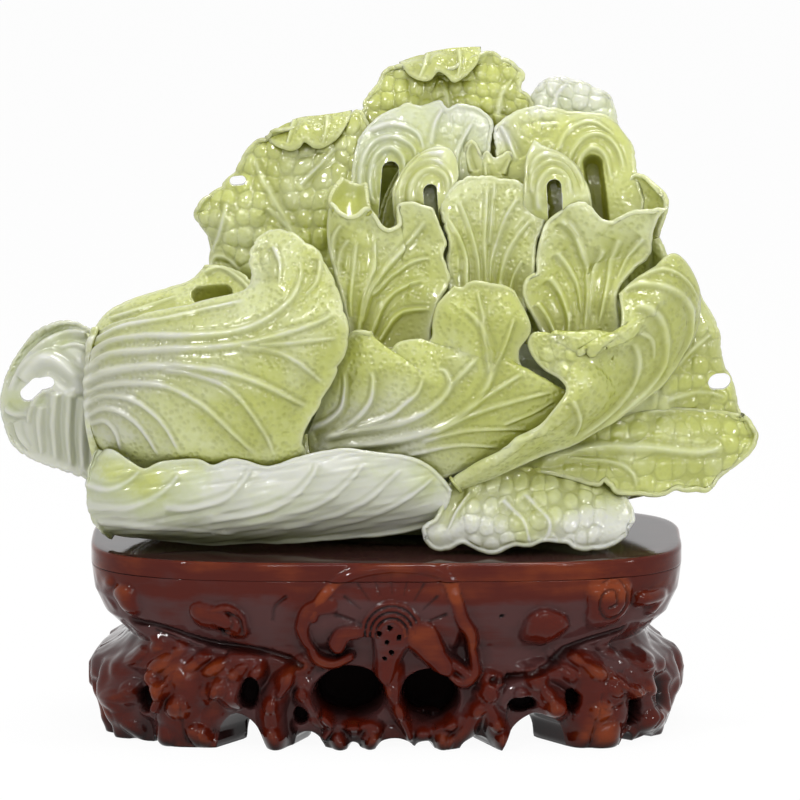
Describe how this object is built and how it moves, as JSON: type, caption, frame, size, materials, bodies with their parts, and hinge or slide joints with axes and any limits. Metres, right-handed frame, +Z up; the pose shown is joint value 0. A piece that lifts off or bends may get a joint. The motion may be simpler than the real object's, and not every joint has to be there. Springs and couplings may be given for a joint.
{
  "type": "jade cabbage carving",
  "caption": "Pale green stone carving of an open cabbage lying on its side, resting on a lacquered root-wood stand with a lingzhi carved on its front.",
  "frame": {"origin": "on the floor under the middle of the whole object's box", "axes": "+Z up, +X to the right of the front view, +Y to the rear"},
  "size_m": [0.4886, 0.2146, 0.4358],
  "materials": {
    "green_jade": "polished, translucent",
    "pale_jade": "polished, translucent",
    "white_jade": "polished, translucent",
    "lacquered_wood": "gloss lacquer"
  },
  "bodies": {
    "stand": {"stand_top": "lacquered_wood", "stand_body": "lacquered_wood", "left_front_root": "lacquered_wood", "left_end_root": "lacquered_wood", "slender_front_root": "lacquered_wood", "short_front_root": "lacquered_wood", "forked_root": "lacquered_wood", "pointed_root": "lacquered_wood", "hanging_root": "lacquered_wood", "right_front_root": "lacquered_wood", "right_end_root": "lacquered_wood", "rear_left_root": "lacquered_wood", "rear_center_root": "lacquered_wood", "rear_right_root": "lacquered_wood", "lingzhi_arch": "lacquered_wood", "lingzhi_crown": "lacquered_wood", "lingzhi_fan": "lacquered_wood", "lingzhi_left_scroll": "lacquered_wood", "lingzhi_right_scroll": "lacquered_wood", "lingzhi_stem": "lacquered_wood", "left_knot": "lacquered_wood", "swirl_knot": "lacquered_wood", "right_knot": "lacquered_wood", "spiral_knot": "lacquered_wood", "left_spur": "lacquered_wood", "right_spur": "lacquered_wood"},
    "carving": {"stalk_core": "white_jade", "inner_bud": "pale_jade", "front_base_leaf": "white_jade", "front_left_leaf": "green_jade", "front_center_leaf": "green_jade", "front_right_leaf": "green_jade", "front_right_base_leaf": "pale_jade", "inner_center_leaf": "green_jade", "inner_left_leaf": "green_jade", "inner_right_leaf": "green_jade", "lower_right_leaf": "green_jade", "flared_lip_leaf": "pale_jade", "left_end_leaf": "white_jade", "heart_left_leaf": "pale_jade", "heart_right_leaf": "pale_jade", "heart_bud": "pale_jade", "left_crest_leaf": "white_jade", "right_crest_leaf": "pale_jade", "crown_leaf": "green_jade", "top_right_leaf": "white_jade", "back_left_leaf": "green_jade", "back_right_leaf": "green_jade", "shoulder_leaf": "pale_jade", "rear_center_leaf": "green_jade", "rear_left_leaf": "pale_jade", "rear_right_leaf": "green_jade"}
  },
  "joints": [
    {"name": "carving_lift", "type": "slide", "parent": "stand", "child": "carving", "axis": [0, 0, 1], "range_m": [0, 0.12]}
  ]
}
